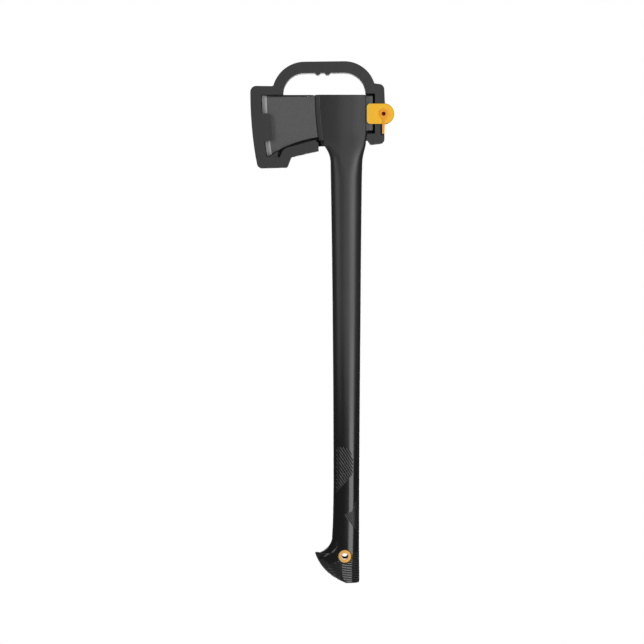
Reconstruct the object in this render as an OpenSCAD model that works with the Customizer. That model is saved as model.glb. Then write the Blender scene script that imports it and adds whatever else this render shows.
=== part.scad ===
// Long-handled chopping axe in a lockable carrying guard with a swivel latch.
// Millimetres. +Z runs up the shaft to the head, -X is the cutting side, Y is the thickness.
// The origin is the centre of the lanyard eye in the knob.

/* [Head] */
// Height of the handle's top above the lanyard eye
head_top = 670.9; // [640:0.1:690]
// Distance of the cutting edge in front of the shaft's axis, at its top corner
edge_reach = 120.9; // [118:0.1:123]
// Radius of the cutting edge's curve
edge_r = 590; // [560:5:640]
// Width of the ground bevel
bevel_w = 7; // [5:0.5:9]
// Half thickness of the blade where the ground bevel starts
bevel_half = 2; // [1.5:0.1:2.5]
// Half thickness of the blade where the handle's lip covers it
cheek_half = 9.2; // [8.6:0.1:9.6]
// Half thickness of the poll and of the waist inside the handle
poll_half = 10.5; // [10:0.1:10.7]

/* [Handle] */
// Half thickness of the handle at the head
eye_half = 15; // [14.5:0.1:15.6]
// Half thickness of the shaft at its middle
shaft_half = 13.6; // [12.8:0.1:14]
// Half thickness of the knob
knob_half = 14.2; // [13.8:0.1:14.5]
// Thickness of the hollow shaft's wall
shaft_wall = 4.2; // [3.2:0.1:5]

/* [Lanyard eye] */
// Radius of the hole for the lanyard
lanyard_r = 4.63; // [4:0.01:5]
// Radius of the eyelet's flange
flange_r = 9.3; // [8.6:0.1:10.6]
// Distance of each flange's outer face from the middle of the knob
flange_face = 14.8; // [14.6:0.1:15]

/* [Guard] */
// Distance of the guard's near face from the middle
guard_near = 11.8; // [11.6:0.1:12.2]
// Distance of the guard's far face from the middle
guard_far = 13.3; // [13:0.1:14.2]
// Thickness of the guard's walls around its hollows
guard_wall = 2.6; // [2:0.1:3]
// Height of the carrying loop's top above the head's top
loop_rise = 48.8; // [46:0.1:56]
// Distance from rib to rib in the guard's upright hollows
rib_pitch = 24; // [18:1:36]

/* [Latch] */
// Thickness of the latch plate
latch_t = 3; // [2.5:0.1:3.4]
// Radius of the latch plate's round end
latch_r = 14.75; // [14:0.05:14.8]
// Radius of the latch pin
pin_r = 5; // [4.6:0.1:5.4]
// Running clearance between the pin and the plate
pin_gap = 0.05; // [0.02:0.01:0.1]

/* [Hidden] */
$fn = 96;
steel = "dimgray";
black = [0.16, 0.16, 0.17];
orange = [0.92, 0.62, 0.17];
arc_step = 7.5;          // degrees from point to point on a rounded corner
edge_x = edge_r - edge_reach;    // centre of the cutting edge's curve
edge_z = head_top + 6.3;
lip_r = edge_r - 78.2;   // the handle's lip is concentric with the cutting edge
lip_w = 6.2;
lip_start = cheek_half + 2.4;
eye_edge_half = 11.4;    // half thickness of the handle at its rear edge by the poll
eye_back = 31;
block_low = head_top - 74.9;     // underside of the block that holds the head's waist
web_half = 4;            // half thickness of the web in front of the neck
poll_x = 41.3;
poll_top = head_top - 1;
poll_low = head_top - 52.4;
blade_top = head_top - 0.4;
blade_low = head_top - 88.9;
beard_c = [-14.2, head_top - 234.6]; // hollow underside of the blade
beard_r = 174.6;
blade_gap = 1;           // room around the blade in the guard
pivot = [56.4, head_top - 27.7];
latch_back = guard_near + 0.1;
latch_front = latch_back + latch_t;
dish_r = 8.7;            // round hollow in the plate that holds the pin's head
dish_t = 0.8;
hub_r = 6.6;
finger_w = 4.2;
finger_tip = pivot[1] - 28.9;
snap_r = pin_r + 1.1;    // the snap collar behind the boss, and the room round it
snap_room = 0.8;
lug_r = latch_r + 0.6;
lug_far = 2;             // how far the latch's lug reaches past the middle, and its boss
boss_far = 6;
loop_top = head_top + loop_rise;
loop_t = 16.8;           // height of the carrying loop's bar
loop_lean = 0.7;         // how much lower the loop's front bend sits
bend_l = 47.8;           // outer radii of the loop's front and back bends
bend_r = 45.6;
bend_in = 30.5;          // inner radius of both bends
bend_l_x = -58;          // places of the bends' centres: outer front, outer back, inner ones
bend_r_x = -0.5;
bend_in_l_x = -59.1;
bend_in_r_x = -0.3;
rib_t = 2;

// ---------- outlines ----------

function unit(v) = v / norm(v);
function flat(p) = [p[0], p[1]];

// Points of the round at corner v of radius r, between neighbours p and q
function corner(p, v, q, r) = r <= 0 ? [v] :
    let (u = unit(p - v), w = unit(q - v), half = acos(u * w) / 2,
         c = v + unit(u + w) * r / sin(half),
         from = v + u * r / tan(half) - c, to = v + w * r / tan(half) - c,
         a = atan2(from[1], from[0]),
         turn = (atan2(to[1], to[0]) - a + 540) % 360 - 180,
         n = max(2, ceil(abs(turn) / arc_step)))
    [for (i = [0:n]) c + r * [cos(a + turn * i / n), sin(a + turn * i / n)]];

// A closed outline from corners [x, z, radius]; a corner with no radius is sharp
function rounded(path) = let (n = len(path))
    [for (i = [0:n - 1])
        each corner(flat(path[(i + n - 1) % n]), flat(path[i]), flat(path[(i + 1) % n]),
                    len(path[i]) > 2 ? path[i][2] : 0)];

// Points of an arc round c from angle a to angle b
function arc(c, r, a, b, n = 16) =
    [for (i = [0:n]) c + r * [cos(a + (b - a) * i / n), sin(a + (b - a) * i / n)]];

// A plate of the children's X-Z outline, from y = near to y = far
module plate(near, far) {
    translate([0, far, 0]) rotate([90, 0, 0]) linear_extrude(far - near) children();
}

// A round bar along Y, centred at [x, z]
module bar(at, r, near, far) {
    translate([at[0], far, at[1]]) rotate([90, 0, 0]) cylinder(r = r, h = far - near);
}

// A ring sector round the cutting edge's centre; its outline is [radius, y]
module edge_ring(outline) {
    translate([edge_x, 0, edge_z]) rotate([90, 0, 0]) rotate([0, 0, 160])
        rotate_extrude(angle = 40, $fn = 256) polygon(outline);
}

// ---------- steel head ----------

module head_outline() {
    polygon(concat(
        [[-125, blade_top], [-40, blade_top], [-36, blade_top - 4], [26, blade_top - 4]],
        rounded([[30, poll_top], [poll_x, poll_top, 1.5], [poll_x, poll_low, 1.8],
                 [28, poll_low]]),
        [[24, head_top - 57.5], [-34, head_top - 61.5]],
        arc(beard_c, beard_r, 98, 123.2),
        [[-110.6, blade_low], [-125, blade_low]]));
}

// Blade, waist and poll as one solid; the handle is moulded round it
module head_solid() {
    chamfer = 1.2;
    intersection() {
        plate(-20, 20) head_outline();
        union() {
            edge_ring([[edge_r, 0.05], [edge_r - bevel_w, bevel_half], [lip_r, cheek_half],
                       [lip_r - 12, poll_half], [lip_r - 12, -poll_half],
                       [lip_r, -cheek_half], [edge_r - bevel_w, -bevel_half],
                       [edge_r, -0.05]]);
            translate([0, 0, head_top - 70]) linear_extrude(80)
                polygon([[-31, -8], [-22, -poll_half], [poll_x - chamfer, -poll_half],
                         [poll_x, chamfer - poll_half], [poll_x, poll_half - chamfer],
                         [poll_x - chamfer, poll_half], [-22, poll_half], [-31, 8]]);
        }
    }
}

module axe_head() {
    color(steel) head_solid();
}

// ---------- handle ----------

neck_c = [-60.8, head_top - 99.7];     // the neck's front hollow, and the knob's two arcs
neck_r = 40;
throat_c = [-41.6, 27.5];
throat_r = 23.3;
throat_top = 25;
heel_c = [18.1, 22.9];
heel_r = 64.5;
toe_z = 3.5;
knob_low = -40.2;

// Front edge of the handle at height z
function front_x(z) =
    z > neck_c[1] ? neck_c[0] + sqrt(pow(neck_r, 2) - pow(z - neck_c[1], 2)) :
    z >= throat_top ? lookup(z, [[throat_top, -18.6], [50, -17.3], [108, -16.4], [225, -16.7],
                                 [342, -17.6], [459, -19], [neck_c[1], -20.8]]) :
    z > toe_z ? throat_c[0] + sqrt(pow(throat_r, 2) - pow(z - throat_c[1], 2)) :
    heel_c[0] - sqrt(pow(heel_r, 2) - pow(z - heel_c[1], 2));

// Back edge of the handle at height z
function back_x(z) = lookup(z, [[knob_low, 19], [knob_low + 1, 21.2], [-36, 21.6], [0, 21.3],
    [108, 21.6], [342, 23.2], [head_top - 124.7, 25.2], [head_top - 95.7, 26],
    [head_top - 82.7, 27.5], [head_top - 68.7, 31]]);

// Half thickness of the handle at height z
function half_y(z) = lookup(z, [[knob_low, 8], [-38, 12.4], [-33, knob_half - 0.3],
    [-24, knob_half], [10, knob_half], [40, shaft_half - 0.4], [150, shaft_half - 0.4],
    [342, shaft_half], [head_top - 112.7, 14.4], [head_top - 82.7, eye_half - 0.3],
    [head_top - 68.7, eye_half - 0.3]]);

// How square a cross-section is at height z, behind its middle and in front of it:
// 2 is an ellipse, more is squarer
function squareness(z) = lookup(z, [[knob_low, 2.5], [head_top - 122.7, 2.6],
    [head_top - 92.7, 3.4], [head_top - 68.7, 5]]);
function front_squareness(z) = z > 30 ? squareness(z) :
    lookup(z, [[knob_low, 2.4], [-10, 2.3], [toe_z, 2.2], [15, 2.3], [30, 2.5]]);

// Cross-section of the handle at height z, drawn in by inset, as 24 points
function section(z, inset = 0) =
    let (a = front_x(z) + inset, b = back_x(z) - inset, h = half_y(z) - inset,
         c = (front_x(max(z, throat_top)) + back_x(z)) / 2)
    [for (i = [0:23]) let (t = i * 15 + 7.5, back = cos(t) > 0,
                           p = 2 / (back ? squareness(z) : front_squareness(z)))
        [c + ((back ? b : a) - c) * pow(abs(cos(t)), p),
         h * sign(sin(t)) * pow(abs(sin(t)), p), z]];

// A closed skin through a list of rings of equally many points, from low to high
module skin(rings) {
    n = len(rings[0]);
    top = (len(rings) - 1) * n;
    sides = [for (j = [0:len(rings) - 2], i = [0:n - 1])
        let (a = j * n + i, b = j * n + (i + 1) % n)
        each [[a, a + n, b + n], [a, b + n, b]]];
    ends = [[for (i = [0:n - 1]) i], [for (i = [n - 1:-1:0]) top + i]];
    polyhedron([for (r = rings) each r], concat(sides, ends), convexity = 6);
}

// The thin web of the handle in front of the neck, under the blade
module neck_web() {
    plate(-web_half, web_half) polygon([[-20, block_low], [-37.4, block_low],
        [-37.4, block_low + 6.5], [-40, block_low + 10.5], [-40, block_low + 14],
        [-20, block_low + 14]]);
}

// The block of the handle that holds the head's waist
module eye_block() {
    lip_foot = [-31.4, block_low + 8.6];
    crown = [for (s = [1, -1]) [for (i = [0:8]) let (f = s > 0 ? i / 8 : 1 - i / 8)
        [-30 + (eye_back + 30) * f, s * (eye_half - (eye_half - eye_edge_half) * f * f)]]];
    intersection() {
        plate(-20, 20) polygon(rounded([[-52, head_top], [eye_back, head_top],
            [eye_back, head_top - 68.7], [20, block_low], [lip_foot[0], block_low],
            lip_foot, [-52, lip_foot[1]]]));
        edge_ring([[lip_r, lip_start], [lip_r - lip_w, eye_half - 1], [460, eye_half],
                   [420, eye_half], [420, -eye_half], [460, -eye_half],
                   [lip_r - lip_w, 1 - eye_half], [lip_r, -lip_start]]);
        translate([0, 0, block_low]) linear_extrude(80)
            polygon(concat([[-60, eye_half]], crown[0], crown[1], [[-60, -eye_half]]));
    }
}

module handle_shell() {
    low_rings = [knob_low, -39, -36, -33, -28, -20, -10, 0, toe_z, 4.6, 7, 11, 16, 22, 30, 50,
        108];
    high_rings = [225, 342, 459, head_top - 112.7, neck_c[1], head_top - 90.7,
        head_top - 82.7, head_top - 74.7, head_top - 68.7];
    hollow_rings = [32, 108, 342, head_top - 112.7, head_top - 94.7];
    color(black) difference() {
        union() {
            skin([for (z = concat(low_rings, high_rings)) section(z)]);
            eye_block();
            neck_web();
        }
        head_solid();
        skin([for (z = hollow_rings) section(z, shaft_wall)]);
        bar([0, 0], lanyard_r, -20, 20);
        for (s = [0, 1]) mirror([0, s, 0]) {
            bar([0, 0], flange_r, flange_face - flange_t, 20);
            bar([0, 0], spigot_r, flange_face - flange_t - spigot_l, 20);
        }
    }
}

// ---------- eyelets ----------

flange_t = 2.2;
spigot_r = 6.6;
spigot_l = 6;

// One flanged eyelet; its outline is [radius, distance from the knob's middle]
module eyelet() {
    root = flange_face - flange_t;
    rim = 0.9;
    color(orange) rotate([90, 0, 0]) rotate_extrude()
        polygon(concat([[lanyard_r, root - spigot_l], [spigot_r, root - spigot_l],
            [spigot_r, root], [flange_r, root]],
            arc([flange_r - rim, flange_face - rim], rim, 0, 90, 4),
            [[lanyard_r, flange_face]]));
}

module eyelet_near() {
    eyelet();
}

module eyelet_far() {
    mirror([0, 1, 0]) eyelet();
}

// ---------- guard ----------

guard_top = head_top + 13;
guard_base = head_top - 107.1;
inner_top = head_top + 1.9;          // the frame's inner top edge over the poll
pocket_top = head_top + 0.1;         // and over the blade
rim_c = [435.6, head_top + 3];       // centre of the guard's long front curve
rim_r = 573;
tab_top = head_top - 27.2;
tab_low = head_top - 67.6;
recess_x = poll_x + 2.7;
web_y = poll_half + 0.3;
tab_y = 4.2;                         // the tabs' distance from the blade's middle

// Front edge of the guard at height z
function rim_x(z) = rim_c[0] - sqrt(pow(rim_r, 2) - pow(z - rim_c[1], 2));
// Line just in front of the cutting edge at height z
function pocket_x(z) = edge_x - sqrt(pow(edge_r + blade_gap, 2) - pow(z - edge_z, 2));

// The guard's frame and carrying loop, seen from the side: one open C-shaped band
module guard_outline() {
    under = loop_top - loop_t - bend_in;
    front = [for (z = [head_top - 90:15:head_top]) [rim_x(z), z]];
    pocket = [for (z = [head_top - 15:-15:head_top - 90]) [pocket_x(z), z]];
    front_bend = arc([bend_l_x, loop_top - loop_lean - bend_l], bend_l, 165.1, 90);
    back_bend = arc([bend_r_x, loop_top - bend_r], bend_r, 90, 17);
    arm = [[-94.5, head_top - 91.2, 2], [-90.3, head_top - 81.4, 3], [-84.5, head_top - 77, 3],
        [-70, head_top - 73.3], [-43, head_top - 65.7, 1], [-38.3, head_top - 70.8, 1.5],
        [-37.9, head_top - 82, 0.8], [-57, head_top - 86.1], [-77.8, head_top - 91.1, 3],
        [-83.6, guard_base + 1.1, 2.5], [-126.3, guard_base, 7.2]];
    hook = [[57.2, guard_top + 1.9, 8], [58.5, head_top - 13.7],
        [57.6, head_top - 70.6, 6.4], [37.6, head_top - 72.9, 1.2], [32.2, head_top - 65, 1],
        [32.2, head_top - 57.2, 1.2], [recess_x, head_top - 56.3, 0.8],
        [recess_x, inner_top, 0.8], [30.2, inner_top, 0.4]];
    polygon(rounded(concat(
        front, [[-137.2, guard_top, 8.4]],
        [concat(front_bend[0], 3)], [for (i = [1:16]) front_bend[i]],
        [for (i = [0:15]) back_bend[i]], [concat(back_bend[16], 2)], hook,
        arc([bend_in_r_x, under], bend_in, 6, 90),
        arc([bend_in_l_x, under - loop_lean], bend_in, 90, 176),
        [[-89.4, pocket_top, 0.4], [pocket_x(head_top), pocket_top, 0.8]], pocket, arm)));
}

// Two finger bumps under the carrying loop
module finger_bumps() {
    for (x = [-39.2, -25])
        translate([x, loop_top - loop_t]) polygon(rounded([[-6.8, 2], [6.8, 2], [0, -4.5, 3.2]]));
}

// Straight ribs across the guard's hollows
module ribs() {
    for (z = [guard_base + rib_pitch:rib_pitch:guard_top - 10])
        for (x = [-124, 50]) translate([x, z]) square([40, rib_t], center = true);
    for (x = [-100, -66, -29, 8])
        translate([x, head_top]) square([rib_t, 300], center = true);
    for (a = [130, 50])
        translate([a > 90 ? bend_in_l_x : bend_in_r_x, loop_top - loop_t - bend_in])
            rotate(a) translate([20, -rib_t / 2]) square([40, rib_t]);
}

module guard_body() {
    floor_y = 3 - guard_near;        // the near skin is 3 mm thick
    hollow_top = 30;
    color(black) difference() {
        union() {
            plate(-guard_near, guard_far) guard_outline();
            plate(-guard_near, guard_far) finger_bumps();
            near_tab();
            edge_wall();
            heel_rest();
            blade_panel();
            poll_web();
            latch_lug();
        }
        difference() {
            plate(floor_y, hollow_top) difference() {
                offset(delta = -guard_wall) guard_outline();
                ribs();
            }
            bar(pivot, hub_r + 4.4, -guard_near, boss_far);
            finger_well(1.5, floor_y + 4);
        }
        bar(pivot, pin_r, -20, 30);
        bar(pivot, snap_r + snap_room, boss_far, 30);
        finger_well(0, floor_y + 2);
    }
}

// Tab over the near side of the edge, half way down
module near_tab() {
    plate(-guard_near, -tab_y) polygon(rounded([[-125, tab_top], [-108.5, tab_top, 2.6],
        [-104.8, tab_low + 2, 1.6], [-118, tab_low - 0.8]]));
}

// Wall along the far side of the edge, from the guard's top to its foot
module edge_wall() {
    plate(tab_y, guard_far) polygon([[-125, pocket_top + 0.6], [-107, pocket_top + 0.6],
        [-104, head_top - 60], [-98, head_top - 86], [-94.5, head_top - 92],
        [-118, head_top - 92]]);
}

// Block under the heel of the blade
module heel_rest() {
    under = 1.1;
    plate(2 - guard_near, guard_far) polygon(concat([[-118, blade_low - 3.5],
        [-97.6, blade_low - 3.5]], arc(beard_c, beard_r - under, 118.6, 123.4, 4),
        [[-118, blade_low - under]]));
}

// Panel behind the blade, from the guard's top to its lower arm
module blade_panel() {
    plate(web_y, guard_far) polygon([[-112, pocket_top + 0.9], [-46.4, pocket_top + 0.9],
        [-43.6, head_top - 50], [-41.2, head_top - 63], [-38.8, head_top - 67],
        [-36.4, head_top - 67.3], [-36.4, block_low + 0.2], [-88, head_top - 86],
        [-97, head_top - 94], [-104, head_top - 94]]);
}

// Wall behind the poll, joined to the guard's rear post
module poll_web() {
    plate(web_y, guard_far) polygon([[31.2, inner_top + 1], [recess_x + 2, inner_top + 1],
        [recess_x + 2, head_top - 66], [31.2, head_top - 66.4]]);
}

// Round lug under the latch plate's end
module latch_lug() {
    plate(-guard_near, lug_far) intersection() {
        translate(pivot) circle(r = lug_r);
        translate([recess_x, head_top - 60]) square(60);
    }
}

// Well beside the latch pin's finger, grown by a margin, from the guard's near face to depth y
module finger_well(margin, depth) {
    plate(-guard_near - 1, depth)
        translate([pivot[0] - 4.5 - margin, finger_tip - 2.6 - margin])
            square([12 + margin, 17.6 + 2 * margin]);
}

// ---------- latch ----------

module latch_plate() {
    reach = 24.5;
    color(orange) difference() {
        plate(-latch_front, -latch_back) union() {
            polygon(rounded([[pivot[0] - reach, pivot[1] - latch_r, 5], [pivot[0], pivot[1] - latch_r],
                [pivot[0], pivot[1] + latch_r], [pivot[0] - reach, pivot[1] + latch_r, 5]]));
            translate(pivot) circle(r = latch_r);
        }
        bar(pivot, pin_r + pin_gap, -30, 0);
        bar(pivot, dish_r, -30, dish_t - latch_front);
    }
}

// The pin's finger, hanging from the hub: it narrows to its tip
module finger_outline() {
    polygon([[-finger_w, -4], [-finger_w / 2, -8.5], [-finger_w / 2, finger_tip - pivot[1]],
        [finger_w / 4, finger_tip - pivot[1]], [finger_w / 2, -8.5], [finger_w, -4]]);
}

// Hollow snap pin with a head and a flat finger that lies over the plate
module latch_pin() {
    front = -latch_front - 1.1;
    head_back = -latch_front + dish_t - 0.1;
    rebate = 1.2 - guard_near;
    foot_top = -latch_r - 0.4;
    hollow_r = 3.07;
    tail = 2;
    color([0.88, 0.58, 0.2]) difference() {
        union() {
            bar(pivot, hub_r, front, head_back);
            bar(pivot, pin_r, front, boss_far + tail);
            bar(pivot, snap_r, boss_far, boss_far + tail);
            plate(front, -latch_front - 0.1) translate(pivot) finger_outline();
            plate(front, rebate) translate(pivot) intersection() {
                finger_outline();
                translate([-10, foot_top - 30]) square([20, 30]);
            }
        }
        bar(pivot, hollow_r, -30, boss_far - 1);
    }
}

axe_head();
handle_shell();
eyelet_near();
eyelet_far();
guard_body();
latch_plate();
latch_pin();
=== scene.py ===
import math

import bmesh
import bpy
import numpy as np
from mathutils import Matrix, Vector


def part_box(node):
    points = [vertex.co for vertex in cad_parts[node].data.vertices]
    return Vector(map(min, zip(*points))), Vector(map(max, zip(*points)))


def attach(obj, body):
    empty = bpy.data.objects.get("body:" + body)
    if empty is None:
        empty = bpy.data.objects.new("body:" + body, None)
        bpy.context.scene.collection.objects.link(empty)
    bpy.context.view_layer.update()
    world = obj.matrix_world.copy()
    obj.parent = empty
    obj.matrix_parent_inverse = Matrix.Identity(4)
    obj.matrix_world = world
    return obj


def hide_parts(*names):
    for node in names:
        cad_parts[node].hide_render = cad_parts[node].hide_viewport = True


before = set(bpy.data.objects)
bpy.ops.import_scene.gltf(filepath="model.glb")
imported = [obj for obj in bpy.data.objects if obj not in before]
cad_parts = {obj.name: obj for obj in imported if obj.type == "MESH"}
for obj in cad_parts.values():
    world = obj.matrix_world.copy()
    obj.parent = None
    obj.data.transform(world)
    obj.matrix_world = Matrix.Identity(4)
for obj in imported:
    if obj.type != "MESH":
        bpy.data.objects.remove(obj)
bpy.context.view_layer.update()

# Shapes are measured in millimetres in the row's frame, and MM turns them into metres.
# The origin is the lanyard eye, +Z runs up to the head, -X to the cutting edge, -Y to the viewer.
MM = 0.001


def node_box(node):
    """Lowest and highest corner of a CAD node, in millimetres."""
    low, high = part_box(node)
    return np.array(low) / MM, np.array(high) / MM


HEAD_LOW, HEAD_HIGH = node_box("axe_head")
HANDLE_LOW, HANDLE_HIGH = node_box("handle_shell")
EYELET_LOW, EYELET_HIGH = node_box("eyelet_near")
TOP = HANDLE_HIGH[2]
BOTTOM = HANDLE_LOW[2]

# The cutting edge and the handle's lip share one centre of curvature [x, z].
EDGE_R = 590.0
EDGE_C = np.array([HEAD_LOW[0] + EDGE_R, TOP + 6.3])
LIP_R = EDGE_R - 78.2
LIP_W = 6.2

# The ground bevel: its width, and the blade's half thickness behind it
BEVEL_W = 7.0
BEVEL_HALF = 2.0

# Half thicknesses of the blade's cheeks, of the steel inside the handle and of the handle's back
CHEEK_HALF = 9.2
WAIST_HALF = 10.5
EYE_EDGE_HALF = 11.4

# The head socket: its back, its lower end, and the depth of the seam between steel and plastic
EYE_BACK = 31.0
EYE_LOW = TOP - 74.9
SEAM = 1.3

# A thin web of the handle fills the corner between the neck and the blade, below the lip.
# Its front steps forward between two heights above EYE_LOW.
WEB_HALF = 4.0
WEB_TOP = EYE_LOW + 13
WEB_FRONT = -37.4
WEB_STEP = 4.4
WEB_STEP_RISE = (5.5, 9.7)
LIP_LOW = EYE_LOW + 8.6

# The blade has a straight top, whose sides fall by ROOF towards the edge, and a hollow
# underside, an arc with centre [x, z], that ends at the edge's lower corner.
BLADE_TOP = TOP - 0.4
ROOF = 1.9
BLADE_LOW = TOP - 88.9
BEARD_C = np.array([-14.2, TOP - 234.6])
BEARD_R = 174.6

# The lanyard eye: its hole, and the seats of the eyelets' spigots and flanges
EYE_R = 4.63
SPIGOT_R = 6.6
FLANGE_T = 2.2
SEAT_R = EYELET_HIGH[0] + 0.5

# ---------------------------------------------------------------- mesh tools


def smooth_line(stations):
    """A smooth function through [place, value] stations that never overshoots them."""
    x, y = np.array(stations, float).T
    step = np.diff(x)
    slope = np.diff(y) / step
    tangent = np.zeros(len(x))
    same_way = slope[:-1] * slope[1:] > 0
    harmonic = 2 * slope[:-1] * slope[1:] / np.where(same_way, slope[:-1] + slope[1:], 1)
    tangent[1:-1] = np.where(same_way, harmonic, 0)
    tangent[0], tangent[-1] = slope[0], slope[-1]

    def value(at):
        at = np.clip(np.asarray(at, float), x[0], x[-1])
        i = np.clip(np.searchsorted(x, at) - 1, 0, len(step) - 1)
        t = (at - x[i]) / step[i]
        rise = t * t * (3 - 2 * t)
        return (y[i] * (1 - rise) + y[i + 1] * rise
                + step[i] * t * (1 - t) * (tangent[i] * (1 - t) - tangent[i + 1] * t))

    return value


def smoothstep(low, high, at):
    """0 at low, 1 at high, level beyond both and smooth between; low may be above high."""
    t = np.clip((np.asarray(at, float) - low) / (high - low), 0, 1)
    return t * t * (3 - 2 * t)


def arc(centre, radius, start, end, count):
    """Evenly spaced points of an arc from angle start to angle end, in degrees."""
    a = np.radians(np.linspace(start, end, count))
    return np.stack([centre[0] + radius * np.cos(a), centre[1] + radius * np.sin(a)], 1)


def make_mesh(name, points, faces, material, body, replaced=None):
    """A smooth-shaded piece from points in millimetres, riding on a body."""
    mesh = bpy.data.meshes.new(name)
    mesh.from_pydata((np.asarray(points) * MM).tolist(), [], faces)
    mesh.validate()
    mesh.materials.append(material)
    piece = bpy.data.objects.new(name, mesh)
    bpy.context.scene.collection.objects.link(piece)
    mesh.shade_smooth()
    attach(piece, body)
    if replaced:
        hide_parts(replaced)
    return piece


def skin_faces(count, around):
    """Quads between rings of equally many points, and a cap on each end ring."""
    i = np.arange(around)
    ring = np.stack([i, (i + 1) % around, (i + 1) % around + around, i + around], 1)
    quads = (ring[None] + np.arange(count - 1)[:, None, None] * around).reshape(-1, 4)
    caps = [list(range(around - 1, -1, -1)), list(range((count - 1) * around, count * around))]
    return quads.tolist() + caps


def sharpen(piece, degrees):
    """Keeps edges steeper than an angle crisp and the rest smooth."""
    piece.data.set_sharp_from_angle(angle=math.radians(degrees))


# ---------------------------------------------------------------- materials


def new_material(name):
    material = bpy.data.materials.new(name)
    material.use_nodes = True
    return material, material.node_tree.nodes, material.node_tree.links


def noise_value(nodes, links, scale, detail, stretch=(1, 1, 1)):
    """Noise in object space at scale features a metre; a stretch below 1 draws them out."""
    coords = nodes.new("ShaderNodeTexCoord")
    mapping = nodes.new("ShaderNodeMapping")
    mapping.inputs["Scale"].default_value = stretch
    noise = nodes.new("ShaderNodeTexNoise")
    noise.inputs["Scale"].default_value = scale
    noise.inputs["Detail"].default_value = detail
    links.new(coords.outputs["Object"], mapping.inputs["Vector"])
    links.new(mapping.outputs["Vector"], noise.inputs["Vector"])
    return noise.outputs["Fac"]


def ranged(nodes, links, source, low, high, new_low, new_high):
    """Maps a value from one range to another, clamped."""
    node = nodes.new("ShaderNodeMapRange")
    node.inputs["From Min"].default_value = low
    node.inputs["From Max"].default_value = high
    node.inputs["To Min"].default_value = new_low
    node.inputs["To Max"].default_value = new_high
    links.new(source, node.inputs["Value"])
    return node.outputs["Result"]


def spread(nodes, links, noise, low, high):
    """Maps the range that holds most of a noise's values to another one."""
    return ranged(nodes, links, noise, 0.3, 0.7, low, high)


def math_node(nodes, links, operation, a, b):
    node = nodes.new("ShaderNodeMath")
    node.operation = operation
    for socket, value in zip(node.inputs, (a, b)):
        if isinstance(value, (int, float)):
            socket.default_value = value
        else:
            links.new(value, socket)
    return node.outputs[0]


def mixed_colour(nodes, links, factor, colour_a, colour_b):
    node = nodes.new("ShaderNodeMix")
    node.data_type = "RGBA"
    for name, value in (("Factor", factor), ("A", colour_a), ("B", colour_b)):
        socket = [s for s in node.inputs if s.name == name and s.enabled][0]
        if hasattr(value, "links"):
            links.new(value, socket)
        else:
            socket.default_value = value
    return [s for s in node.outputs if s.enabled][0]


def bump_node(nodes, links, height, distance, before=None):
    node = nodes.new("ShaderNodeBump")
    node.inputs["Distance"].default_value = distance
    links.new(height, node.inputs["Height"])
    if before:
        links.new(before, node.inputs["Normal"])
    return node.outputs["Normal"]


def rubbed_and_highlit_edges(nodes, links, radius):
    """1 on edges that handling has rubbed and that carry a painted highlight, 0 on flats: a rounded
    normal against the true one.
    """
    agree_flat, agree_edge = 0.995, 0.9
    bevel = nodes.new("ShaderNodeBevel")
    bevel.samples = 4
    bevel.inputs["Radius"].default_value = radius
    geometry = nodes.new("ShaderNodeNewGeometry")
    dot = nodes.new("ShaderNodeVectorMath")
    dot.operation = "DOT_PRODUCT"
    links.new(bevel.outputs["Normal"], dot.inputs[0])
    links.new(geometry.outputs["Normal"], dot.inputs[1])
    return ranged(nodes, links, dot.outputs["Value"], agree_flat, agree_edge, 0.0, 1.0)


def xz_distance(nodes, links, centre):
    """Distance in metres from a centre [x, z] in millimetres, in the X-Z plane."""
    coords = nodes.new("ShaderNodeTexCoord")
    away = nodes.new("ShaderNodeVectorMath")
    away.operation = "SUBTRACT"
    away.inputs[1].default_value = (centre[0] * MM, 0, centre[1] * MM)
    flat = nodes.new("ShaderNodeVectorMath")
    flat.operation = "MULTIPLY"
    flat.inputs[1].default_value = (1, 0, 1)
    length = nodes.new("ShaderNodeVectorMath")
    length.operation = "LENGTH"
    links.new(coords.outputs["Object"], away.inputs[0])
    links.new(away.outputs[0], flat.inputs[0])
    links.new(flat.outputs[0], length.inputs[0])
    return length.outputs["Value"]


def plastic(name, colour, rubbed_and_highlit, roughness, gloss):
    """Moulded plastic: fine grain, faint flow clouds, fine rub marks, and edges painted paler in
    speckles, for rubbing and as a painted highlight.
    """
    cloud_contrast = 0.12
    rough_contrast = 0.12
    edge_width = 0.7 * MM
    grain_depth = 0.03 * MM
    material, nodes, links = new_material(name)
    shader = nodes["Principled BSDF"]
    shader.inputs["Specular IOR Level"].default_value = gloss
    clouds = noise_value(nodes, links, scale=38.0, detail=4.0, stretch=(1, 1, 0.35))
    darker = tuple(c * (1 - cloud_contrast) for c in colour) + (1,)
    lighter = tuple(c * (1 + cloud_contrast) for c in colour) + (1,)
    base = mixed_colour(nodes, links, clouds, darker, lighter)
    speckle = noise_value(nodes, links, scale=900.0, detail=2.0)
    # Paler speckles on the edges stand for rubbing and for a painted highlight along them.
    worn_and_highlit = math_node(nodes, links, "MULTIPLY", rubbed_and_highlit_edges(nodes, links, edge_width), speckle)
    base = mixed_colour(nodes, links, worn_and_highlit, base, tuple(rubbed_and_highlit) + (1,))
    links.new(base, shader.inputs["Base Color"])
    marks = noise_value(nodes, links, scale=160.0, detail=5.0, stretch=(1, 1, 0.08))
    rough = spread(nodes, links, marks, roughness * (1 - rough_contrast),
                   roughness * (1 + rough_contrast))
    links.new(rough, shader.inputs["Roughness"])
    grain = noise_value(nodes, links, scale=2600.0, detail=2.0)
    links.new(bump_node(nodes, links, grain, grain_depth), shader.inputs["Normal"])
    return material


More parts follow.
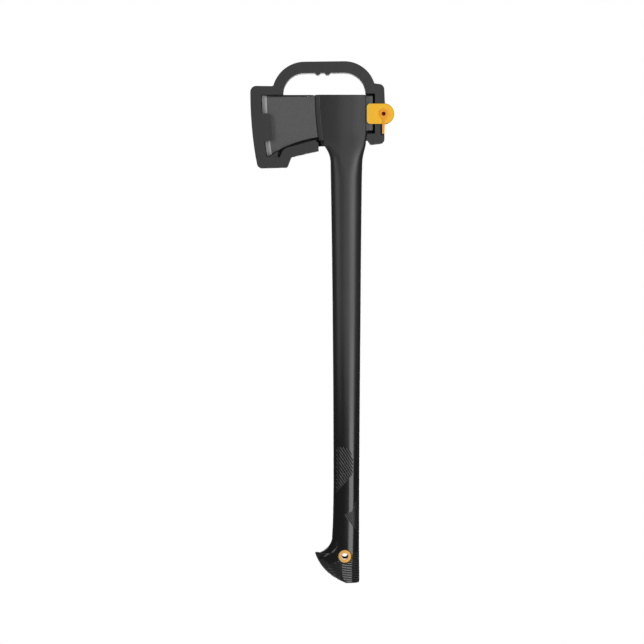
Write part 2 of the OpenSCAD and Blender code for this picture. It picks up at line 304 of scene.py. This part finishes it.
def handle_plastic(name):
    """Black glass-filled nylon: satin and grained by the head, polished at the grip and the knob."""
    dark_satin, light_satin = (0.015, 0.015, 0.016, 1), (0.020, 0.020, 0.021, 1)
    polished_black = (0.007, 0.007, 0.0075, 1)
    colour_low, colour_high = 0.12, 0.36
    gloss_low, gloss_high = 0.11, 0.34
    grain_depth = 0.03 * MM
    material, nodes, links = new_material(name)
    shader = nodes["Principled BSDF"]
    coords = nodes.new("ShaderNodeTexCoord")
    split = nodes.new("ShaderNodeSeparateXYZ")
    links.new(coords.outputs["Object"], split.inputs[0])
    height = split.outputs["Z"]
    clouds = noise_value(nodes, links, scale=30.0, detail=4.0, stretch=(1, 1, 0.25))
    base = mixed_colour(nodes, links, clouds, dark_satin, light_satin)
    polished = ranged(nodes, links, height, colour_low, colour_high, 1.0, 0.0)
    base = mixed_colour(nodes, links, polished, base, polished_black)
    links.new(base, shader.inputs["Base Color"])
    marks = noise_value(nodes, links, scale=220.0, detail=5.0, stretch=(1, 1, 0.05))
    marks = spread(nodes, links, marks, -0.03, 0.03)
    rough = ranged(nodes, links, height, gloss_low, gloss_high, 0.16, 0.36)
    links.new(math_node(nodes, links, "ADD", rough, marks), shader.inputs["Roughness"])
    # The reflection is weaker at the head. Inside the lanyard eye it is taken away, as painted shade
    # of the bore.
    gloss = ranged(nodes, links, height, (EYE_LOW - 20) * MM, (EYE_LOW + 12) * MM, 0.5, 0.3)
    bore = math_node(nodes, links, "LESS_THAN", xz_distance(nodes, links, (0, 0)),
                     (EYE_R + 0.2) * MM)
    painted_bore_shade = math_node(nodes, links, "SUBTRACT", 1.0, bore)
    links.new(math_node(nodes, links, "MULTIPLY", gloss, painted_bore_shade),
              shader.inputs["Specular IOR Level"])
    grain = noise_value(nodes, links, scale=2400.0, detail=2.0)
    grain = math_node(nodes, links, "MULTIPLY", grain,
                      ranged(nodes, links, height, gloss_low, gloss_high, 0.12, 1.0))
    links.new(bump_node(nodes, links, grain, grain_depth), shader.inputs["Normal"])
    return material


def forged_steel(name):
    """Dark coated forging with a fine mottle, bright where the edge is ground along its curve."""
    dark_coat, light_coat = (0.070, 0.070, 0.073, 1), (0.088, 0.088, 0.091, 1)
    poll_coat = (0.030, 0.030, 0.031, 1)
    dark_bare, light_bare = (0.38, 0.38, 0.385, 1), (0.52, 0.52, 0.525, 1)
    wander_reach = 0.25 * MM
    ground_soft = 0.1 * MM
    material, nodes, links = new_material(name)
    shader = nodes["Principled BSDF"]
    distance = xz_distance(nodes, links, EDGE_C)
    wander = noise_value(nodes, links, scale=140.0, detail=3.0)
    wander = spread(nodes, links, wander, -wander_reach, wander_reach)
    line = (EDGE_R - BEVEL_W) * MM
    ground = ranged(nodes, links, math_node(nodes, links, "ADD", distance, wander),
                    line - ground_soft, line + ground_soft, 0.0, 1.0)
    mottle = noise_value(nodes, links, scale=420.0, detail=6.0)
    coating = mixed_colour(nodes, links, spread(nodes, links, mottle, 0, 1), dark_coat, light_coat)
    poll = ranged(nodes, links, distance, (LIP_R - 40) * MM, (LIP_R - 20) * MM, 1.0, 0.0)
    coating = mixed_colour(nodes, links, poll, coating, poll_coat)
    scratches = noise_value(nodes, links, scale=700.0, detail=4.0, stretch=(1, 1, 0.12))
    scratched = spread(nodes, links, scratches, 0, 1)
    bare = mixed_colour(nodes, links, scratched, dark_bare, light_bare)
    links.new(mixed_colour(nodes, links, ground, coating, bare), shader.inputs["Base Color"])
    links.new(math_node(nodes, links, "MULTIPLY", ground, 0.3), shader.inputs["Metallic"])
    links.new(spread(nodes, links, scratches, 0.34, 0.46), shader.inputs["Roughness"])
    speckle = noise_value(nodes, links, scale=1800.0, detail=3.0)
    fine = bump_node(nodes, links, speckle, 0.02 * MM)
    links.new(bump_node(nodes, links, scratches, 0.01 * MM, fine), shader.inputs["Normal"])
    return material


# Each plastic: colour, colour of its rubbed edges with their painted highlight, roughness, gloss
HANDLE_BLACK = handle_plastic("handle_nylon")
GUARD_BLACK = plastic("guard_plastic", (0.023, 0.023, 0.0235), (0.05, 0.05, 0.051), 0.52, 0.36)
LATCH_ORANGE = plastic("latch_orange", (0.90, 0.48, 0.014), (0.97, 0.70, 0.16), 0.38, 0.25)
PIN_ORANGE = plastic("pin_orange", (0.84, 0.34, 0.014), (0.93, 0.58, 0.14), 0.38, 0.25)
EYELET_ORANGE = plastic("eyelet_orange", (0.76, 0.41, 0.09), (0.90, 0.62, 0.25), 0.34, 0.3)
STEEL = forged_steel("forged_steel")

# ---------------------------------------------------------------- handle

# Arcs of the front outline, with centres [x, z]: the neck, the throat above the knob's toe and
# the knob's face below the toe; the shaft's own outline runs from the throat to the neck.
NECK_C = np.array([-60.8, TOP - 99.7])
NECK_R = 40.0
THROAT_C = np.array([-41.6, 27.5])
THROAT_R = 23.3
THROAT_TOP = 25.0
HEEL_C = np.array([18.1, 22.9])
HEEL_R = 64.5
TOE_Z = 3.5

# Outlines and half thickness along the height z
shaft_front = smooth_line([[THROAT_TOP, -18.6], [50, -17.3], [108, -16.4], [225, -16.7], [342, -17.6],
                           [459, -19], [NECK_C[1], -20.8]])
shaft_back = smooth_line([[BOTTOM, 19], [BOTTOM + 1, 21], [-36, 21.6], [0, 21.3], [108, 21.6],
                          [342, 23.2], [TOP - 124.7, 25.2], [TOP - 95.7, 26], [TOP - 82.7, 27.4],
                          [TOP - 68.7, 30.8], [TOP - 58.7, EYE_BACK]])
half_thickness = smooth_line([[BOTTOM, 8], [-38, 12.4], [-33, 13.9], [-24, 14.2], [10, 14.2],
                              [40, 13.2], [150, 13.2], [342, 13.6], [TOP - 112.7, 14.4],
                              [TOP - 82.7, 14.7], [TOP - 68.7, 14.7]])

# Powers of the superellipse that makes the back and the front half of the shaft's section
NECK_SQUARENESS = [[TOP - 122.7, 2.6], [TOP - 92.7, 3.8], [EYE_LOW, 7]]
squareness = smooth_line([[BOTTOM, 2.5], [30, 2.5]] + NECK_SQUARENESS)
front_squareness = smooth_line([[BOTTOM, 2.5], [-10, 2.5], [TOE_Z, 2.4], [15, 2.4], [30, 2.5]]
                               + NECK_SQUARENESS)

# Half thickness of the head socket's crowned sides along x
crown = smooth_line([[-45, 13.9], [-12, 14.5], [10, 13.5], [EYE_BACK, EYE_EDGE_HALF]])

# The shaft's section turns into the socket's over these heights, at the back and at the front.
# The lip's own part, in front of NOSE, turns at EYE_LOW at once.
BLEND_LOW = EYE_LOW - 40
BACK_BLEND = (TOP - 98.7, TOP - 48.7)
FRONT_BLEND = (EYE_LOW - 14, EYE_LOW + 14)
BACK_TO_FRONT = (25, -25)
NOSE = (-28.5, -31)

# How many points each part of half a socket section has
SIDE_STEPS = {"back": 14, "back_corner": 6, "side": 110, "bevel": 9, "front": 14}


def front_x(z):
    """Front edge of the handle below the head."""
    z = np.asarray(z, float)
    neck = NECK_C[0] + np.sqrt(np.clip(NECK_R ** 2 - (z - NECK_C[1]) ** 2, 0, None))
    throat = THROAT_C[0] + np.sqrt(np.clip(THROAT_R ** 2 - (z - THROAT_C[1]) ** 2, 0, None))
    heel = HEEL_C[0] - np.sqrt(np.clip(HEEL_R ** 2 - (z - HEEL_C[1]) ** 2, 0, None))
    shaft = np.where(z > THROAT_TOP, shaft_front(z), throat)
    return np.where(z > NECK_C[1], neck, np.where(z > TOE_Z, shaft, heel))


def lip_x(z, radius):
    """Place on an arc that is concentric with the cutting edge, at height z."""
    return EDGE_C[0] - math.sqrt(radius ** 2 - (z - EDGE_C[1]) ** 2)


def running_length(line):
    """Length of a polyline up to each of its points."""
    return np.concatenate([[0], np.cumsum(np.linalg.norm(np.diff(line, axis=0), axis=1))])


def resample(line, fractions):
    """Points at the given fractions of a polyline's length."""
    length = running_length(line)
    at = fractions * length[-1]
    return np.stack([np.interp(at, length, line[:, i]) for i in (0, 1)], 1)


def web_front(z):
    """Front of the thin web under the blade: a rounded lower corner and a step forward above."""
    corner = 0.8 * (1 - smoothstep(0, 1.2, z - EYE_LOW))
    return WEB_FRONT + corner - WEB_STEP * float(smoothstep(*WEB_STEP_RISE, z - EYE_LOW))


def eye_half(z):
    """Half of the head socket's section at height z, from the middle of its back to its front."""
    round_r = 1.2
    lip_height = 2.4
    wall_depth = 2.1
    front = lip_x(z, LIP_R)
    shoulder = lip_x(z, LIP_R - LIP_W)
    edge = CHEEK_HALF + lip_height
    inner = lip_x(z, LIP_R - wall_depth)
    n = SIDE_STEPS
    back = np.stack([np.full(n["back"], EYE_BACK),
                     np.linspace(0, EYE_EDGE_HALF - round_r, n["back"], endpoint=False)], 1)
    corner = arc((EYE_BACK - round_r, EYE_EDGE_HALF - round_r), round_r, 0, 80, n["back_corner"])
    x = np.linspace(EYE_BACK - round_r - 0.6, shoulder + 0.9, n["side"])
    side = np.stack([x, crown(x)], 1)
    # A fine groove parts the crowned side from the slope that leads to the lip's front.
    top_edge = np.array([shoulder, float(crown(shoulder))])
    slope = np.array([front, edge]) - top_edge
    seam = top_edge + [[0.62, 0.02], [0.42, -0.14], [0.2, -0.7], [-0.02, -0.82]]
    bevel = top_edge + slope * np.linspace(0.1, 0.93, n["bevel"])[:, None]
    # The lip's front stands over the steel, and the socket's wall lies behind it.
    lip = np.array([[front + 0.1, edge + 0.02], [front, edge - 0.25],
                    [front, CHEEK_HALF - SEAM - 0.2], [front + 0.5, CHEEK_HALF - SEAM - 0.5]])
    wall = np.stack([np.full(n["front"], inner),
                     np.linspace(CHEEK_HALF - SEAM - 0.8, 0, n["front"])], 1)
    half = np.concatenate([back, corner, side, seam, bevel, lip, wall])
    if z < WEB_TOP:
        half[-n["front"]:, 0] = np.where(wall[:, 1] < WEB_HALF, web_front(z), inner)
    if z < LIP_LOW:
        front_part = half[:, 0] < lip_x(LIP_LOW, LIP_R - LIP_W)
        half[front_part, 1] = np.minimum(half[front_part, 1], WEB_HALF)
        half[:, 0] = np.maximum(half[:, 0], web_front(z))
    return half


# One section of the socket fixes how the points are spread along the shaft's sections.
REFERENCE = eye_half(TOP - 30)
FRACTIONS = running_length(REFERENCE) / running_length(REFERENCE)[-1]


def shaft_half(z, front):
    """Half of the shaft's superellipse at height z, sampled like the head socket's section."""
    back, half = float(shaft_back(z)), float(half_thickness(z))
    middle = ((float(shaft_front(z)) if z < THROAT_TOP else front) + back) / 2
    samples = 721
    t = np.linspace(0, np.pi, samples)
    behind = t < np.pi / 2
    power = 2 / np.where(behind, squareness(z), front_squareness(z))
    x = middle + np.where(behind, back - middle, front - middle) * np.abs(np.cos(t)) ** power
    return resample(np.stack([x, half * np.abs(np.sin(t)) ** power], 1), FRACTIONS)


def handle_half(z):
    """Half section of the whole handle at height z: shaft below, head socket above."""
    neck = shaft_half(z, float(front_x(min(z, EYE_LOW))))
    if z < BLEND_LOW:
        return neck
    eye = eye_half(max(z, EYE_LOW))
    back_share = smoothstep(*BACK_BLEND, z)
    middle_share = smoothstep(*FRONT_BLEND, z)
    along = smoothstep(*BACK_TO_FRONT, REFERENCE[:, 0])
    nose = smoothstep(*NOSE, REFERENCE[:, 0])
    front_share = middle_share * (1 - nose) + float(z > EYE_LOW) * nose
    share = (back_share * (1 - along) + front_share * along)[:, None]
    return neck * (1 - share) + eye * share


def rounded_top(height, outline, radius):
    """Drawn-in rings that round a flat top off, as pairs of outline and height."""
    rings = []
    middle = np.array([outline[:, 0].mean(), 0.0])
    reach = np.linalg.norm(outline - middle, axis=1, keepdims=True)
    for angle in np.radians([22, 45, 68, 90]):
        inset = radius * (1 - math.cos(angle))
        drawn_in = outline - (outline - middle) / reach * inset
        rings.append((drawn_in, height + radius * math.sin(angle)))
    return rings


def stripes(along, pitch, depth, land):
    """Depth of grooves with one steep and one gentle wall, with a flat land between them."""
    phase = (along / pitch) % 1.0
    steep = 0.15
    return depth * np.clip(np.minimum(phase / steep, (1 - land - phase) / (1 - land - steep)), 0, 1)


def inside_polygon(x, z, corners, soft):
    """1 well inside a convex outline whose corners run clockwise, 0 outside, soft at its border."""
    inside = np.full(x.shape, 1e9)
    for (ax, az), (bx, bz) in zip(corners, corners[1:] + corners[:1]):
        length = math.hypot(bx - ax, bz - az)
        inside = np.minimum(inside, ((bz - az) * (x - ax) - (bx - ax) * (z - az)) / length)
    return smoothstep(0, soft, inside)


# The grip's two grooved patches as [x, z] corners, clockwise; the lower one is made of two.
UPPER_PATCH = [(-12.8, 159), (0.3, 159), (8, 153), (11.8, 142), (11.5, 119), (-12.6, 91.5)]
LOWER_POINT = [(-1.4, 60.5), (11, 66), (26, 66), (26, 22), (11, 43)]
LOWER_BACK = [(9.7, 58), (13.7, 78), (26, 93), (26, 58)]
PATCH_ANGLE = math.radians(55)

# The knob's fan of grooves lies below a slanting border and ends a little above the bottom.
# Its grooves rise towards the front and fall a little towards the back, from x = FAN_MIDDLE.
FAN_BORDER_SLOPE = 0.468
FAN_LOW = BOTTOM + 2.5
FAN_MIDDLE = 4
FAN_RISE = 0.2
FAN_FALL = 0.07

# Pitch, depth and land of the grooves of each area
UPPER_GROOVES = (3.4, 0.6, 0.4)
LOWER_GROOVES = (2.7, 0.5, 0.4)
FAN_GROOVES = (3.4, 0.65, 0.32)

# The grooves fade out towards the handle's front and back edges, between these distances from
# its middle plane, and nothing is sunk into the skin above DETAIL_TOP.
FLANK = (2.0, 5.0)
DETAIL_TOP = 175


def groove_depth(x, y, z):
    """Depth of the moulded grooves in the grip and the knob."""
    diagonal = x * math.sin(PATCH_ANGLE) + z * math.cos(PATCH_ANGLE)
    upper = inside_polygon(x, z, UPPER_PATCH, soft=0.9)
    lower = np.maximum(inside_polygon(x, z, LOWER_POINT, soft=0.7),
                       inside_polygon(x, z, LOWER_BACK, soft=0.7))
    depth = np.maximum(upper * stripes(diagonal, *UPPER_GROOVES),
                       lower * stripes(diagonal, *LOWER_GROOVES))
    fan = z + np.where(x < FAN_MIDDLE, -FAN_RISE * (FAN_MIDDLE - x), FAN_FALL * (x - FAN_MIDDLE))
    fan_area = (smoothstep(-2.0, -3.2, z - FAN_BORDER_SLOPE * x)
                * smoothstep(SEAT_R + 0.6, SEAT_R + 1.4, np.hypot(x, z))
                * smoothstep(FAN_LOW, FAN_LOW + 1.5, z))
    depth = np.maximum(depth, fan_area * stripes(fan, *FAN_GROOVES))
    return depth * smoothstep(*FLANK, np.abs(y))


def toe_hollow(x, z):
    """Depth of the hollow between the throat and a slanting, curved ridge on the knob's side."""
    depth, half_soft = 0.8, 1.8
    ridge_x, ridge_low, slope, bend = -22.5, 4.8, 0.82, 0.0135
    ridge_z = ridge_low + slope * (x - ridge_x) + bend * (x - ridge_x) ** 2
    # The share of a height that is a distance square to the slanting ridge
    square_share = 0.8
    across = (ridge_z - z) * square_share
    reach = smoothstep(17, 12, z) * smoothstep(-13, -6, z)
    return depth * smoothstep(half_soft, -half_soft, across) * reach


def fan_cut(x, y, z):
    """How far two slanting faces cut the knob's side off, more and more below the eye."""
    side, start, bend = 14.2, -4, 10.5
    gentle = 0.17 * np.clip(x - start, 0, bend - start)
    steep = 0.42 * np.clip(x - bend, 0, None)
    return np.clip(np.abs(y) - (side - gentle - steep), 0, None) * smoothstep(-4, -20, z)


def displaced(points):
    """Sinks the grooves and the toe's hollow into the skin, and cuts the knob's sides."""
    x, y, z = points[..., 0], points[..., 1], points[..., 2]
    tangent_round = np.roll(points, -1, axis=1) - np.roll(points, 1, axis=1)
    tangent_up = np.gradient(points, axis=0)
    normal = np.cross(tangent_round, tangent_up)
    normal /= np.linalg.norm(normal, axis=2, keepdims=True) + 1e-9
    sunk = toe_hollow(x, z) * smoothstep(5, 10, np.abs(y)) + groove_depth(x, y, z)
    points = points - normal * np.where(z < DETAIL_TOP, sunk, 0)[..., None]
    points[..., 1] -= np.sign(y) * fan_cut(x, y, z)
    return points


def face_outward(mesh):
    """Turns every face of a closed mesh to face outward."""
    work = bmesh.new()
    work.from_mesh(mesh)
    bmesh.ops.recalc_face_normals(work, faces=work.faces)
    work.to_mesh(mesh)
    work.free()


def drill_lanyard_eye(piece):
    """Cuts the stepped hole that holds the eyelets through the knob."""
    around = 96
    beyond = 20
    angles = np.linspace(0, 2 * np.pi, around, endpoint=False)
    seat, spigot = -EYELET_LOW[1] - FLANGE_T, -EYELET_HIGH[1]
    half = [(SEAT_R, beyond), (SEAT_R, seat), (SPIGOT_R, seat), (SPIGOT_R, spigot), (EYE_R, spigot)]
    steps = [(r, -y) for r, y in half] + half[::-1]
    points = [[r * math.cos(a), y, r * math.sin(a)] for r, y in steps for a in angles]
    mesh = bpy.data.meshes.new("cutter")
    mesh.from_pydata((np.array(points) * MM).tolist(), [], skin_faces(len(steps), around))
    cutter = bpy.data.objects.new("cutter", mesh)
    bpy.context.scene.collection.objects.link(cutter)
    for solid in (piece.data, mesh):
        face_outward(solid)
    hole = piece.modifiers.new("hole", "BOOLEAN")
    hole.object = cutter
    hole.operation = "DIFFERENCE"
    hole.solver = "EXACT"
    drilled = piece.evaluated_get(bpy.context.evaluated_depsgraph_get())
    piece.data = bpy.data.meshes.new_from_object(drilled)
    piece.modifiers.clear()
    bpy.data.objects.remove(cutter)
    bpy.data.meshes.remove(mesh)


def ring_heights(top_round):
    """Heights of the handle's rings: close together at the grooves, the neck and the lip's nose."""
    grooves_top = 165
    fine = np.arange(BOTTOM + 0.3, grooves_top, 0.45)
    shaft = np.arange(grooves_top + 1, EYE_LOW - 30, 5.0)
    neck = np.arange(EYE_LOW - 28, EYE_LOW - 1, 1.2)
    nose = np.concatenate([EYE_LOW + np.array([-0.6, -0.01, 0.01, 0.2, 0.5, 0.9]),
                           np.arange(EYE_LOW + 1.4, LIP_LOW - 0.2, 0.6),
                           LIP_LOW + np.array([-0.02, 0.02, 0.3]),
                           np.arange(LIP_LOW + 0.8, WEB_TOP, 0.8)])
    eye = np.arange(WEB_TOP + 0.4, TOP - 1.5, 1.8)
    return np.concatenate([fine, shaft, neck, nose, eye, [TOP - top_round]])


def build_handle():
    """The handle as one skin over rings of points, with the eye drilled through its knob."""
    top_round = 0.9
    halves = [(handle_half(z), z) for z in ring_heights(top_round)]
    halves += rounded_top(TOP - top_round, halves[-1][0], top_round)
    rings = []
    for half, z in halves:
        far = half[1:-1][::-1] * [1, -1]
        ring = np.concatenate([half, far])
        rings.append(np.column_stack([ring, np.full(len(ring), z)]))
    points = displaced(np.array(rings))
    faces = skin_faces(len(rings), points.shape[1])
    handle = make_mesh("handle", points.reshape(-1, 3), faces, HANDLE_BLACK, "axe", "handle_shell")
    drill_lanyard_eye(handle)


# ---------------------------------------------------------------- head


def loop_round(z_low, z_high, half, round_r):
    """A rounded rectangle in the Y-Z plane as points [y, z], from its far upper corner."""
    round_steps, across_steps, upright_steps = 5, 10, 34
    round_r = min(round_r, half * 0.9)
    y, upper, lower = half - round_r, z_high - round_r, z_low + round_r
    far_top, near_top, near_low, far_low = [
        arc(centre, round_r, start, start + 90, round_steps)
        for centre, start in (((y, upper), 0), ((-y, upper), 90),
                              ((-y, lower), 180), ((y, lower), 270))]

    def between(a, b, count):
        return a + (b - a) * np.linspace(0, 1, count + 2)[1:-1, None]

    return np.concatenate([far_top, between(far_top[-1], near_top[0], across_steps),
                           near_top, between(near_top[-1], near_low[0], upright_steps),
                           near_low, between(near_low[-1], far_low[0], across_steps),
                           far_low, between(far_low[-1], far_top[0], upright_steps)])


def blade_underside(x):
    """Height of the beard's hollow underside at place x."""
    hollow = BEARD_C[1] + np.sqrt(BEARD_R ** 2 - (np.minimum(x, BEARD_C[0]) - BEARD_C[0]) ** 2)
    return np.maximum(hollow, BLADE_LOW)


def blade_ring(radius, half, round_r):
    """Section of the blade on an arc concentric with the cutting edge."""
    # Repeated substitution finds where the arc meets the underside.
    z_low, rounds = BLADE_LOW + 18, 30
    for _ in range(rounds):
        z_low = float(blade_underside(lip_x(z_low, radius)))
    flat = loop_round(z_low, BLADE_TOP, half, round_r)
    near_top = smoothstep(BLADE_TOP - 6, BLADE_TOP, flat[:, 1])
    roof = ROOF * smoothstep(-46, -49.5, lip_x(BLADE_TOP, radius))
    flat[:, 1] -= near_top * roof * smoothstep(0.5, 2.5, np.abs(flat[:, 0]))
    x = np.array([lip_x(z, radius) for z in flat[:, 1]])
    return np.column_stack([x, flat])


def blade_half(radius):
    """Half thickness of the blade behind its ground bevel, with a seam along the handle's lip."""
    wedge_r = EDGE_R - BEVEL_W
    before_lip = radius - LIP_R
    wedge = (wedge_r - radius) / (wedge_r - LIP_R) * (CHEEK_HALF - BEVEL_HALF)
    seam = SEAM * smoothstep(1.25, 0.8, before_lip) * smoothstep(-0.9, -0.3, before_lip)
    return min(BEVEL_HALF + wedge, CHEEK_HALF) - float(seam)


def blade_rings():
    """Rings from the cutting edge over the ground bevel and the cheeks to just inside the lip."""
    edge_half = 0.05
    bevel_r = EDGE_R - BEVEL_W
    rings = []
    for inset in (0.02, 0.4, 1.5, 3, 4.5, 6):
        half = edge_half + inset / BEVEL_W * (BEVEL_HALF - edge_half)
        rings.append(blade_ring(EDGE_R - inset, half, min(half, 0.5)))
    for inset in (-0.15, 0, 0.15, 1):
        rings.append(blade_ring(bevel_r - inset, BEVEL_HALF + inset * 0.1, 0.8))
    near_lip = LIP_R + np.array([1.25, 1.1, 0.95, 0.8, -0.3, -0.6, -0.9, -3])
    for radius in np.concatenate([np.linspace(bevel_r - 3, LIP_R + 3, 32), near_lip]):
        rings.append(blade_ring(radius, blade_half(radius), 1.0))
    return rings


def poll_rings():
    """Rings from the waist inside the handle to the poll, whose end is rounded."""
    half, round_r = WAIST_HALF - 0.02, 1.5
    top, low = TOP - 1, TOP - 52.4
    # Each section: x, lower and upper end, half thickness, corner radius
    sections = [(-32, TOP - 60, TOP - 6.5, half, round_r), (0, TOP - 58, TOP - 6.5, half, round_r),
                (26, TOP - 55, TOP - 6.5, half, round_r), (29, TOP - 53, TOP - 2, half, round_r),
                (EYE_BACK - 0.5, low, top, half, round_r)]
    for angle in np.radians([0, 22, 45, 68, 90]):
        inset = round_r * (1 - math.cos(angle))
        x = HEAD_HIGH[0] - round_r * (1 - math.sin(angle))
        sections.append((x, low + inset, top - inset, half - inset, 1.6))
    rings = []
    for x, z_low, z_high, half_y, corner in sections:
        flat = loop_round(z_low, z_high, half_y, corner)
        rings.append(np.column_stack([np.full(len(flat), float(x)), flat]))
    return rings


def build_head():
    """The head as one skin from the cutting edge to the poll, narrower inside the handle."""
    points = np.array(blade_rings() + poll_rings())
    faces = skin_faces(points.shape[0], points.shape[1])
    head = make_mesh("head", points.reshape(-1, 3), faces, STEEL, "axe", "axe_head")
    sharpen(head, degrees=12)


# ---------------------------------------------------------------- eyelets


def turned(name, profile, side, material, replaced):
    """A closed ring round the Y axis, from a profile of [radius, distance along side * Y]."""
    around = 96
    angles = np.linspace(0, 2 * np.pi, around, endpoint=False)
    points = [[r * math.cos(a), side * y, r * math.sin(a)] for a in angles for r, y in profile]
    n = len(profile)
    faces = []
    for i in range(around):
        for k in range(n):
            a, b = i * n + k, i * n + (k + 1) % n
            c, d = (i + 1) % around * n + (k + 1) % n, (i + 1) % around * n + k
            faces.append([a, b, c, d] if side > 0 else [d, c, b, a])
    make_mesh(name, points, faces, material, "axe", replaced)


def build_eyelets():
    """A flanged eyelet on each side of the knob, with a rounded rim and mouth."""
    hole, flange = EYE_R, EYELET_HIGH[0]
    face = -EYELET_LOW[1]
    root = face - FLANGE_T
    deep = -EYELET_HIGH[1]
    spigot = SPIGOT_R - 0.02
    rim_round, mouth_round = 1.3, 1.0
    profile = ([(hole, deep), (spigot, deep), (spigot, root), (flange - 0.05, root)]
               + arc((flange - rim_round, face - 1.55), rim_round, 0, 70, 7).tolist()
               + [(flange - 2.6, face - 0.06), (flange - 3.3, face)]
               + arc((hole + mouth_round, face - mouth_round), mouth_round, 90, 180, 7).tolist())
    for side, node in ((-1, "eyelet_near"), (1, "eyelet_far")):
        turned(node + "_ring", profile, side, EYELET_ORANGE, node)


# ---------------------------------------------------------------- guard and latch


def refine_cad(node, material, bevel_mm, segments):
    """Rounds the edges of a CAD node that is shown in its own shape."""
    weld_reach = 0.02 * MM
    flat_angle, edge_angle = math.radians(0.6), math.radians(32)
    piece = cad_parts[node]
    piece.data.materials.clear()
    piece.data.materials.append(material)
    weld = piece.modifiers.new("weld", "WELD")
    weld.merge_threshold = weld_reach
    flats = piece.modifiers.new("flats", "DECIMATE")
    flats.decimate_type = "DISSOLVE"
    flats.angle_limit = flat_angle
    bevel = piece.modifiers.new("edges", "BEVEL")
    bevel.width = bevel_mm * MM
    bevel.segments = segments
    bevel.limit_method = "ANGLE"
    bevel.angle_limit = edge_angle
    bevel.use_clamp_overlap = True
    bevel.harden_normals = True


build_handle()
build_head()
build_eyelets()
refine_cad("guard_body", GUARD_BLACK, bevel_mm=1.2, segments=3)
refine_cad("latch_plate", LATCH_ORANGE, bevel_mm=0.8, segments=3)
refine_cad("latch_pin", PIN_ORANGE, bevel_mm=0.3, segments=2)

# ---------------------------------------------------------------- stage, light and camera

# Lengths from here on are in metres.
LIGHT_DISTANCE = 1.9

# Each light: name, angle, width, height, watts, height above the middle of the frame. The two
# behind the axe show its far side in other views, and hardly reach the photo's.
LIGHTS = (("key_right", 22, 0.86, 2.6, 31, 0),
          ("fill_left", -36, 0.9, 1.4, 9.5, 0.62),
          ("back_right", 173, 0.86, 2.6, 22, 0),
          ("back_left", 191, 0.9, 1.4, 8, 0.62))


def softbox(name, angle, width, height, watts, target):
    """A tall area light facing the axe, at an angle to the right of the camera's line of sight."""
    data = bpy.data.lights.new(name, "AREA")
    data.shape = "RECTANGLE"
    data.size = width
    data.size_y = height
    data.energy = watts
    light = bpy.data.objects.new(name, data)
    light.visible_camera = False
    a = math.radians(angle)
    light.location = target + Vector((math.sin(a), -math.cos(a), 0)) * LIGHT_DISTANCE
    light.rotation_euler = (target - light.location).to_track_quat("-Z", "Y").to_euler()
    bpy.context.scene.collection.objects.link(light)


def pale_floor(height, radius, centre):
    """A plain round floor well below the axe, out of the photo's frame."""
    count = 96
    white = (0.86, 0.86, 0.85, 1)
    angles = np.linspace(0, 2 * np.pi, count, endpoint=False)
    points = [[centre.x + radius * math.cos(a), radius * math.sin(a), height] for a in angles]
    mesh = bpy.data.meshes.new("floor")
    mesh.from_pydata(points, [], [list(range(count))])
    material, nodes, _ = new_material("floor_white")
    nodes["Principled BSDF"].inputs["Base Color"].default_value = white
    nodes["Principled BSDF"].inputs["Roughness"].default_value = 0.8
    mesh.materials.append(material)
    floor = bpy.data.objects.new("floor", mesh)
    bpy.context.scene.collection.objects.link(floor)


def studio_world(white, fill):
    """White to the camera and a dim even fill to everything else."""
    world = bpy.data.worlds.new("studio")
    bpy.context.scene.world = world
    world.use_nodes = True
    nodes, links = world.node_tree.nodes, world.node_tree.links
    rays = nodes.new("ShaderNodeLightPath")
    seen = nodes["Background"]
    seen.inputs["Color"].default_value = (1, 1, 1, 1)
    seen.inputs["Strength"].default_value = white
    dim = nodes.new("ShaderNodeBackground")
    dim.inputs["Color"].default_value = (1, 1, 1, 1)
    dim.inputs["Strength"].default_value = fill
    mix = nodes.new("ShaderNodeMixShader")
    links.new(rays.outputs["Is Camera Ray"], mix.inputs["Fac"])
    links.new(dim.outputs[0], mix.inputs[1])
    links.new(seen.outputs[0], mix.inputs[2])
    links.new(mix.outputs[0], nodes["World Output"].inputs["Surface"])


# The camera is level and square to the axe's side, at the height of the upper shaft. Its lens
# is shifted down so that the whole axe is in the frame.
CAMERA_DISTANCE = 2.9
CAMERA_X, CAMERA_Z = -0.0331, 0.51
FRAME_Z = 0.33976
FRAME_WIDTH = 0.9402


def shift_lens_in_place(camera, shift):
    """Shifts the lens while the camera stands in its own place, and not when it is moved away."""
    near = 0.02
    curve = camera.data.driver_add("shift_y")
    curve.modifiers.remove(curve.modifiers[0])
    curve.driver.type = "AVERAGE"
    place = curve.driver.variables.new()
    place.type = "TRANSFORMS"
    place.targets[0].id = camera
    place.targets[0].transform_type = "LOC_Y"
    for away, value in ((-near, 0), (0, shift), (near, 0)):
        key = curve.keyframe_points.insert(away - CAMERA_DISTANCE, value)
        key.interpolation = "LINEAR"


def photo_camera():
    """The camera that sees the axe as the photo does."""
    data = bpy.data.cameras.new("camera")
    data.sensor_width = 36.0
    data.lens = data.sensor_width * CAMERA_DISTANCE / FRAME_WIDTH
    camera = bpy.data.objects.new("camera", data)
    camera.location = (CAMERA_X, -CAMERA_DISTANCE, CAMERA_Z)
    camera.rotation_euler = (math.radians(90), 0, 0)
    bpy.context.scene.collection.objects.link(camera)
    bpy.context.scene.camera = camera
    shift_lens_in_place(camera, (FRAME_Z - CAMERA_Z) / FRAME_WIDTH)


photo_camera()
centre = Vector((CAMERA_X, 0, FRAME_Z))
for name, angle, width, height, watts, rise in LIGHTS:
    softbox(name, angle, width, height, watts, centre + Vector((0, 0, rise)))
pale_floor(height=-0.5, radius=1.3, centre=centre)
studio_world(white=1.0, fill=0.11)
bpy.context.scene.view_settings.view_transform = "Standard"
